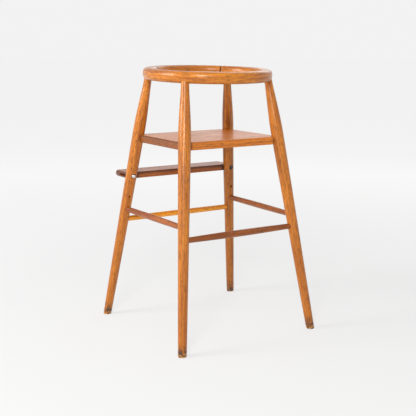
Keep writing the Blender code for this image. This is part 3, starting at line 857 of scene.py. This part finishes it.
def mixed(tree, factor, first, second, blend="MIX"):
    """Mix two colours."""
    made = node(tree, "ShaderNodeMix", data_type="RGBA", blend_type=blend)
    for socket, value in zip((0, 6, 7), (factor, first, second)):
        if isinstance(value, bpy.types.NodeSocket):
            tree.links.new(value, made.inputs[socket])
        else:
            made.inputs[socket].default_value = value
    return made.outputs[2]


def board_wear(tree, coordinates, color, dark, board):
    """End grain, a crack, and painted shade round the legs and along the upper back edge of a
    board.

    The faces that look along the fibres have drunk more finish and are darker.  The painted
    contact shade fades with the distance from each leg's axis, and a board's crack is a thin
    wandering band.
    """
    low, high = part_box(board)
    middle = (low + high) / 2
    place = coordinates.outputs["Object"]
    normal = node(tree, "ShaderNodeSeparateXYZ", {0: coordinates.outputs["Normal"]})
    ends = between(tree, arithmetic(tree, "ABSOLUTE", normal.outputs[0], 0.0), 0.5, 0.8)
    drunk = tuple(0.58 * part for part in dark) + (1,)
    color = mixed(tree, arithmetic(tree, "MULTIPLY", ends, 0.92), color, drunk)
    black = tuple(0.2 * part for part in dark) + (1,)
    spots = wood_layer(tree, place, "spots")
    spots = arithmetic(tree, "MULTIPLY", spots, arithmetic(tree, "MULTIPLY", ends, 0.7))
    color = mixed(tree, spots, color, black)
    parts = node(tree, "ShaderNodeSeparateXYZ", {0: place})
    wander = between(tree, stretched(tree, place, (60, 60, 60), 2.0), 0.0, 1.0, -0.003, 0.003)
    across = arithmetic(tree, "ADD", parts.outputs[1], wander)
    across = arithmetic(tree, "ABSOLUTE", arithmetic(tree, "SUBTRACT", across, middle.y), 0.0)
    crack = arithmetic(tree, "MULTIPLY", between(tree, across, 0.0006, 0.0016, 1.0, 0.0), ends)
    color = mixed(tree, crack, color, black)
    lip = between(tree, parts.outputs[2], high.z - 5 * MM, high.z - 2 * MM)
    color = mixed(tree, arithmetic(tree, "MULTIPLY", lip, ends), color, black)
    # Painted shade on the upper part of the back face, under the board's top edge.
    upper = between(tree, parts.outputs[2], middle.z, high.z - 4 * MM)
    back = between(tree, normal.outputs[1], 0.3, 0.8)
    band = arithmetic(tree, "MULTIPLY", upper, back)
    band = arithmetic(tree, "MULTIPLY", band, BACK_EDGE_SHADE[board])
    color = mixed(tree, band, color, black)
    # Painted contact shade: the board darkens within a few millimetres of each leg.
    leg = leg_point("rear_left", middle.z)
    sides = node(tree, "ShaderNodeVectorMath", {0: place}, operation="ABSOLUTE").outputs[0]
    axis = (leg.x, leg.y, middle.z)
    gap = node(tree, "ShaderNodeVectorMath", {0: sides, 1: axis}, operation="DISTANCE")
    leg_shade = between(tree, gap.outputs["Value"], 0.0185, 0.0270, 0.85, 0.0)
    return mixed(tree, leg_shade, color, black)


def oak(
    name, light, dark, ring_rate=300.0, pith=(0.03, 0.01), heart=0.0, roughness=0.33, board=None,
    joints=(),
):
    """Ring-porous oak under clear finish.

    Colour: light early wood and dark late wood take turns with the distance from the pith,
    bent by slow noise; long streaks, fine dark pores, wider dark dashes and a slow change
    of tone lie over that.  Pores and streaks also raise the bump and the roughness.  Below
    0.38 m the colour darkens towards the floor as painted shade.  Near the floor the finish
    is scuffed dark and rubbed pale in spots.  Heart adds a dark core that is stronger in the
    upper part, and each shaded gap is a (place along the fibres, reach) pair with painted
    shade round it.  A board also gets its own wear and painted shade.
    """
    material, tree, shader = fresh_material(name)
    grain = node(tree, "ShaderNodeAttribute", attribute_name="grain").outputs["Vector"]
    coordinates = node(tree, "ShaderNodeTexCoord")
    place = coordinates.outputs["Object"]
    height = node(tree, "ShaderNodeSeparateXYZ", {0: place}).outputs[2]
    parts = node(tree, "ShaderNodeSeparateXYZ", {0: grain})
    flat = node(
        tree, "ShaderNodeCombineXYZ",
        {0: arithmetic(tree, "ADD", parts.outputs[0], pith[0]),
         1: arithmetic(tree, "ADD", parts.outputs[1], pith[1])},
    )
    distance = node(tree, "ShaderNodeVectorMath", {0: flat.outputs[0]}, operation="LENGTH")
    sway = stretched(tree, grain, (34, 34, 2.2), 2.0)
    turns = arithmetic(tree, "MULTIPLY", distance.outputs["Value"], ring_rate * 2 * pi)
    phase = arithmetic(tree, "ADD", turns, arithmetic(tree, "MULTIPLY", sway, 26.0))
    rings = between(tree, arithmetic(tree, "SINE", phase, 0.0), -0.5, 1.0)
    slow = wood_layer(tree, grain, "slow")
    streaks = wood_layer(tree, grain, "streaks")
    pores = wood_layer(tree, grain, "pores")
    dashes = wood_layer(tree, grain, "dashes")
    blots = wood_layer(tree, grain, "blots")
    tone = arithmetic(tree, "MULTIPLY", rings, 0.34)
    tone = arithmetic(tree, "ADD", tone, arithmetic(tree, "MULTIPLY", slow, 0.40))
    tone = arithmetic(tree, "ADD", tone, arithmetic(tree, "MULTIPLY", streaks, 0.42))
    deep = tuple(0.45 * part for part in dark)
    color = mixed(tree, tone, (*light, 1), (*dark, 1))
    porous = arithmetic(tree, "MULTIPLY", pores, between(tree, rings, 0.0, 1.0, 0.66, 0.25))
    color = mixed(tree, porous, color, (*deep, 1))
    color = mixed(tree, arithmetic(tree, "MULTIPLY", dashes, 0.75), color, (*deep, 1))
    color = mixed(tree, arithmetic(tree, "MULTIPLY", blots, 0.58), color, (*deep, 1))
    if heart:
        core = wood_layer(tree, grain, "core")
        upper = between(tree, height, 0.40, 0.56, 0.25, heart)
        color = mixed(tree, arithmetic(tree, "MULTIPLY", core, upper), color, (*deep, 1))
    # Painted shade in the gaps at the gate's ends: the colour darkens within reach of each gap.
    for at, reach in joints:
        gap = arithmetic(tree, "SUBTRACT", parts.outputs[2], at)
        near = between(tree, arithmetic(tree, "ABSOLUTE", gap, 0.0), 0.3 * reach, reach, 0.75, 0.0)
        color = mixed(tree, near, color, tuple(0.16 * part for part in dark) + (1,))
    if board:
        color = board_wear(tree, coordinates, color, dark, board)
    # Painted shade: below 0.38 m the colour darkens towards the floor, up to 0.38 of the way to the
    # dark wood.
    lower_shade = between(tree, height, 0.0, 0.38, 0.38, 0.0)
    color = mixed(tree, lower_shade, color, (*dark, 1))
    low = between(tree, height, 0.012, 0.046, 1.0, 0.0)
    scuff = wood_layer(tree, place, "scuff")
    rub = wood_layer(tree, place, "rub")
    color = mixed(tree, arithmetic(tree, "MULTIPLY", low, scuff), color, SCUFF_COLOR)
    tip = between(tree, height, 0.002, 0.014, 1.0, 0.0)
    color = mixed(tree, arithmetic(tree, "MULTIPLY", tip, rub), color, RUBBED_COLOR)
    tree.links.new(color, shader.inputs["Base Color"])
    uneven = arithmetic(tree, "MULTIPLY", slow, 0.12)
    dull = arithmetic(tree, "ADD", arithmetic(tree, "MULTIPLY", streaks, 0.10), uneven)
    dull = arithmetic(tree, "ADD", dull, roughness - 0.08)
    dull = arithmetic(tree, "ADD", dull, arithmetic(tree, "MULTIPLY", pores, 0.2))
    tree.links.new(dull, shader.inputs["Roughness"])
    raised = arithmetic(tree, "MULTIPLY", streaks, 0.4)
    relief = arithmetic(tree, "ADD", arithmetic(tree, "MULTIPLY", pores, -0.6), raised)
    bump = node(tree, "ShaderNodeBump", {"Strength": 0.35, "Distance": 0.0002, "Height": relief})
    tree.links.new(bump.outputs["Normal"], shader.inputs["Normal"])
    shader.inputs["IOR"].default_value = 1.45
    shader.inputs["Coat Weight"].default_value = 0.25
    shader.inputs["Coat Roughness"].default_value = 0.14
    shader.inputs["Specular Tint"].default_value = (1.0, 0.90, 0.78, 1)
    return material


def metal(name, color, stain, roughness):
    """Metal with faint cloudy stains, fine scratches and uneven roughness."""
    material, tree, shader = fresh_material(name)
    place = node(tree, "ShaderNodeTexCoord").outputs["Object"]
    cloud = between(tree, stretched(tree, place, (260, 260, 260), 4.0, 0.6), 0.42, 0.66)
    scratch = stretched(tree, place, (2400, 300, 2400), 3.0, 0.7)
    tree.links.new(mixed(tree, cloud, (*color, 1), (*stain, 1)), shader.inputs["Base Color"])
    dull = arithmetic(tree, "ADD", arithmetic(tree, "MULTIPLY", cloud, 0.22), roughness)
    tree.links.new(dull, shader.inputs["Roughness"])
    bump = node(tree, "ShaderNodeBump", {"Strength": 0.2, "Distance": 0.0001, "Height": scratch})
    tree.links.new(bump.outputs["Normal"], shader.inputs["Normal"])
    shader.inputs["Metallic"].default_value = 1.0
    return material


def beech(name):
    """Bare beech of the dowels: pale, with short brown rays."""
    material, tree, shader = fresh_material(name)
    place = node(tree, "ShaderNodeTexCoord").outputs["Object"]
    rays = between(tree, stretched(tree, place, (900, 900, 240), 3.0), 0.52, 0.62)
    color = mixed(tree, rays, (0.62, 0.40, 0.22, 1), (0.40, 0.21, 0.10, 1))
    tree.links.new(color, shader.inputs["Base Color"])
    dull = arithmetic(tree, "ADD", arithmetic(tree, "MULTIPLY", rays, 0.1), 0.55)
    tree.links.new(dull, shader.inputs["Roughness"])
    return material


class HIGHCHAIR_OT_materials(Operator):
    """Make the wood and metal finishes"""

    bl_idname = "highchair.materials"
    bl_label = "Materials"

    def execute(self, context):
        colors = context.scene.highchair_finish

        def tones(key, depth=1.0):
            """The light and dark colour of a finish, both deepened."""
            pair = (getattr(colors, f"{key}_light"), getattr(colors, f"{key}_dark"))
            return [tuple(depth * part for part in color) for color in pair]

        MATERIALS["amber"] = oak("amber_oak", *tones("amber"), pith=(0.02, 0.015))
        # Amber deepened to 0.84 as painted shade for the far leg, with a dark heartwood core.
        MATERIALS["amber_heart_shaded"] = oak(
            "heartwood_oak", *tones("amber", 0.84), pith=(0.01, 0.01), heart=0.85
        )
        # The hoop and the gate get painted shade next to the gate's two gaps.
        gaps = [radians(HINGE_ANGLE) * HOOP_R, radians(LATCH_ANGLE) * HOOP_R]
        around = 2 * pi * HOOP_R
        MATERIALS["hoop"] = oak(
            "hoop_oak", *tones("amber"), roughness=0.30,
            joints=((gaps[0], 2.5 * MM), (gaps[1] + around, 2.5 * MM)),
        )
        MATERIALS["gate"] = oak(
            "gate_oak", *tones("amber", 0.95), roughness=0.36,
            joints=[(GATE_GRAIN[2] + gap, 7 * MM) for gap in gaps],
        )
        MATERIALS["russet"] = oak("russet_oak", *tones("russet"))
        MATERIALS["umber"] = oak("umber_oak", *tones("umber"))
        MATERIALS["footrest"] = oak(
            "footrest_oak", *tones("umber", 1.15), 200.0, roughness=0.36, board="footrest_board"
        )
        MATERIALS["honey"] = oak("honey_oak", *tones("honey"), roughness=0.40)
        MATERIALS["seat"] = oak("seat_oak", *tones("seat"), 150.0, roughness=0.36, board="seat")
        MATERIALS["brass"] = metal("aged_brass", (0.66, 0.47, 0.20), (0.30, 0.19, 0.08), 0.28)
        MATERIALS["zinc"] = metal("zinc_plate", (0.93, 0.94, 0.95), (0.70, 0.71, 0.73), 0.30)
        # Black steel: the dark finish of washers and nuts, also painted shade on the right bolt and
        # in the footrest's slots.
        MATERIALS["black_steel"] = metal(
            "black_steel", (0.10, 0.095, 0.09), (0.05, 0.04, 0.035), 0.4
        )
        MATERIALS["beech"] = beech("bare_beech")
        return {"FINISHED"}


# ---------------------------------------------------------------- stage


class HIGHCHAIR_OT_stage(Operator):
    """Make the floor, the soft light and the camera"""

    bl_idname = "highchair.stage"
    bl_label = "Stage"

    def execute(self, context):
        stage = context.scene.highchair_stage
        cosine, sine = circle(FLOOR_COLUMNS)
        rows = np.stack([
            np.stack((radius * cosine, radius * sine, np.full(FLOOR_COLUMNS, level)), axis=-1)
            for radius, level in FLOOR_PROFILE
        ])
        floor = solid("floor", rows)
        material, tree, shader = fresh_material("paper_floor")
        place = node(tree, "ShaderNodeTexCoord").outputs["Object"]
        cloud = stretched(tree, place, (1.1, 1.1, 1.1), 2.0)
        base = tuple(stage.floor_color)
        shade = tuple(0.985 * part for part in base)
        tree.links.new(mixed(tree, cloud, (*base, 1), (*shade, 1)), shader.inputs["Base Color"])
        shader.inputs["Roughness"].default_value = 0.8
        shader.inputs["Specular IOR Level"].default_value = 0.0
        out = node(tree, "ShaderNodeVectorMath", {0: place}, operation="LENGTH").outputs["Value"]
        glow = between(tree, out, GLOW_NEAR, GLOW_FAR, stage.floor_glow, stage.far_glow)
        tree.links.new(glow, shader.inputs["Emission Strength"])
        shader.inputs["Emission Color"].default_value = (1, 1, 1, 1)
        floor.data.materials.append(material)

        world = bpy.data.worlds.new("soft_room")
        world.use_nodes = True
        tree = world.node_tree
        seen = tree.nodes["Background"]
        seen.inputs["Color"].default_value = (1, 1, 1, 1)
        seen.inputs["Strength"].default_value = stage.backdrop_level
        level = {"Color": (1, 1, 1, 1), "Strength": stage.sky_level}
        lit = node(tree, "ShaderNodeBackground", level)
        ray = node(tree, "ShaderNodeLightPath").outputs["Is Diffuse Ray"]
        either = node(tree, "ShaderNodeMixShader", {0: ray, 1: seen.outputs[0], 2: lit.outputs[0]})
        tree.links.new(either.outputs[0], tree.nodes["World Output"].inputs["Surface"])
        context.scene.world = world

        towards = Vector((sin(stage.camera_azimuth), -cos(stage.camera_azimuth), 0))
        for name, (turn, reach, height, width, tall, share) in SOFTBOXES.items():
            data = bpy.data.lights.new(name, "AREA")
            data.shape = "RECTANGLE"
            data.size = width
            data.size_y = tall
            data.energy = share * stage.key_power
            light = bpy.data.objects.new(name, data)
            away = Matrix.Rotation(radians(turn), 3, "Z") @ towards
            light.location = away * reach + Vector((0, 0, height))
            aim = LIGHT_AIM - light.location
            light.rotation_euler = aim.to_track_quat("-Z", "Y").to_euler()
            light.visible_camera = False
            context.scene.collection.objects.link(light)

        data = bpy.data.cameras.new("camera")
        data.lens = stage.lens
        data.sensor_width = SENSOR_WIDTH
        camera = bpy.data.objects.new("camera", data)
        camera.location = (CAMERA_X, CAMERA_Y, stage.camera_height)
        camera.rotation_euler = (pi / 2 - stage.camera_drop, 0, stage.camera_azimuth)
        context.scene.collection.objects.link(camera)
        context.scene.camera = camera
        context.scene.view_settings.view_transform = "Standard"
        return {"FINISHED"}


class HIGHCHAIR_PT_panel(Panel):
    """Lists the chair's pieces"""

    bl_idname = "HIGHCHAIR_PT_panel"
    bl_label = "High Chair"
    bl_space_type = "VIEW_3D"
    bl_region_type = "UI"
    bl_category = "High Chair"

    def draw(self, context):
        for operator in OPERATORS:
            self.layout.operator(operator.bl_idname)


OPERATORS = (
    HIGHCHAIR_OT_materials,
    HIGHCHAIR_OT_legs,
    HIGHCHAIR_OT_stretchers,
    HIGHCHAIR_OT_hoop,
    HIGHCHAIR_OT_seat,
    HIGHCHAIR_OT_footrest,
    HIGHCHAIR_OT_bolts,
    HIGHCHAIR_OT_stage,
)
CLASSES = (HighChairShape, HighChairFinish, HighChairStage, *OPERATORS, HIGHCHAIR_PT_panel)


def register():
    """Register the classes and hang the settings on the scene."""
    for item in CLASSES:
        bpy.utils.register_class(item)
    bpy.types.Scene.highchair_shape = PointerProperty(type=HighChairShape)
    bpy.types.Scene.highchair_finish = PointerProperty(type=HighChairFinish)
    bpy.types.Scene.highchair_stage = PointerProperty(type=HighChairStage)


def unregister():
    """Undo register."""
    del bpy.types.Scene.highchair_stage
    del bpy.types.Scene.highchair_finish
    del bpy.types.Scene.highchair_shape
    for item in reversed(CLASSES):
        bpy.utils.unregister_class(item)


def main():
    """Make everything in order."""
    register()
    bpy.ops.highchair.materials()
    bpy.ops.highchair.legs()
    bpy.ops.highchair.stretchers()
    bpy.ops.highchair.hoop()
    bpy.ops.highchair.seat()
    bpy.ops.highchair.footrest()
    bpy.ops.highchair.bolts()
    bpy.ops.highchair.stage()


if __name__ == "__main__":
    main()
